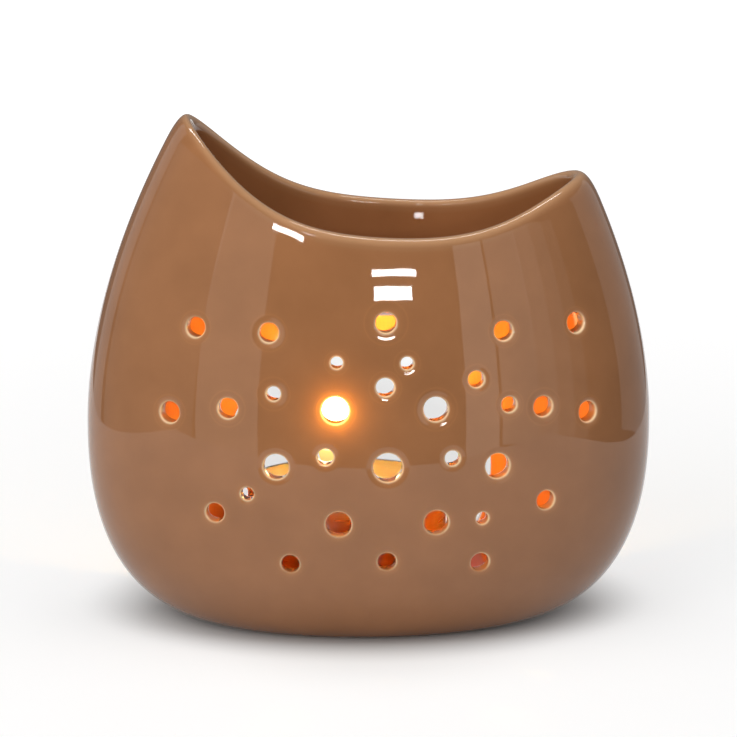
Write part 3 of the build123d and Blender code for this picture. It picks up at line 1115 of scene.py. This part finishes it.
def ovalPlace(middle, half):
    oval = nodes.new("ShaderNodeMapping")
    oval.inputs["Scale"].default_value = (1 / half[0], 1 / half[1], 1)
    oval.inputs["Location"].default_value = (0, -middle / half[1], 0)
    links.new(place.outputs["Object"], oval.inputs["Vector"])
    return oval.outputs["Vector"]


def byDistance(vector, reach, values, interpolation="SMOOTHSTEP"):
    away = nodes.new("ShaderNodeVectorMath")
    away.operation = "LENGTH"
    links.new(vector, away.inputs[0])
    rising = nodes.new("ShaderNodeMapRange")
    rising.interpolation_type = interpolation
    for socket, value in zip(("From Min", "From Max", "To Min", "To Max"), (*reach, *values)):
        rising.inputs[socket].default_value = value
    links.new(away.outputs["Value"], rising.inputs["Value"])
    return rising.outputs["Result"]


def combined(operation, first, second):
    node = nodes.new("ShaderNodeMath")
    node.operation = operation
    links.new(first, node.inputs[0])
    links.new(second, node.inputs[1])
    return node.outputs[0]


# painted shade round the foot: no glow under the burner, rising away from it
glowBeyondFootShadow = byDistance(ovalPlace(studio["footMiddle"], studio["footHalf"]), (1.0, studio["footTo"]),
                      (0.0, studio["glow"]))
# painted shadow behind the burner: less glow in a long oval there
paintedShadow = byDistance(ovalPlace(studio["shadeMiddle"], studio["shadeHalf"]), (1.0, studio["shadeTo"]),
                   (studio["paintedShadow"], 1.0))
farGlow = byDistance(place.outputs["Object"], (studio["farFrom"], studio["farTo"]),
                     (0.0, studio["farGlow"]), "LINEAR")
tableGlow = combined("ADD", combined("MULTIPLY", glowBeyondFootShadow, paintedShadow), farGlow)
seenAtAll = combined("MAXIMUM", path.outputs["Is Camera Ray"], path.outputs["Is Glossy Ray"])
seenAtAll = combined("MAXIMUM", seenAtAll, path.outputs["Is Transmission Ray"])
links.new(combined("MULTIPLY", seenAtAll, tableGlow), glow.inputs["Strength"])
both = nodes.new("ShaderNodeAddShader")
links.new(paper.outputs[0], both.inputs[0])
links.new(glow.outputs[0], both.inputs[1])
links.new(both.outputs[0], output.inputs[0])
tableMesh.materials.append(tableMaterial)

world = bpy.data.worlds.new("studio")
world.use_nodes = True
bpy.context.scene.world = world
sky = world.node_tree.nodes["Background"]
sky.inputs["Color"].default_value = (1.0, 1.0, 1.0, 1.0)
sky.inputs["Strength"].default_value = studio["worldLevel"]
bpy.context.scene.view_settings.view_transform = "Standard"
print("studio: table,", len(lamps), "lamps")


# camera at the photograph's angle

cameraForm = {
    "azimuth": -2.5, "elevation": 12.0, "distance": 0.8,
    "sensor": 36.0, "lens": 198.47, "aimHeight": 0.0502, "slide": -0.0001,
}
cameraData = bpy.data.cameras.new("camera")
cameraData.sensor_width = cameraForm["sensor"]
cameraData.lens = cameraForm["lens"]
camera = bpy.data.objects.new("camera", cameraData)
slide = Vector((cameraForm["slide"], 0, 0))
away = direction(cameraForm["azimuth"], cameraForm["elevation"])
camera.location = aimPoint + slide + away * cameraForm["distance"]
camera.rotation_mode = "QUATERNION"
target = slide + Vector((0, 0, cameraForm["aimHeight"]))
camera.rotation_quaternion = (target - camera.location).to_track_quat("-Z", "Y")
sceneObjects.link(camera)
bpy.context.scene.camera = camera
print("camera set")
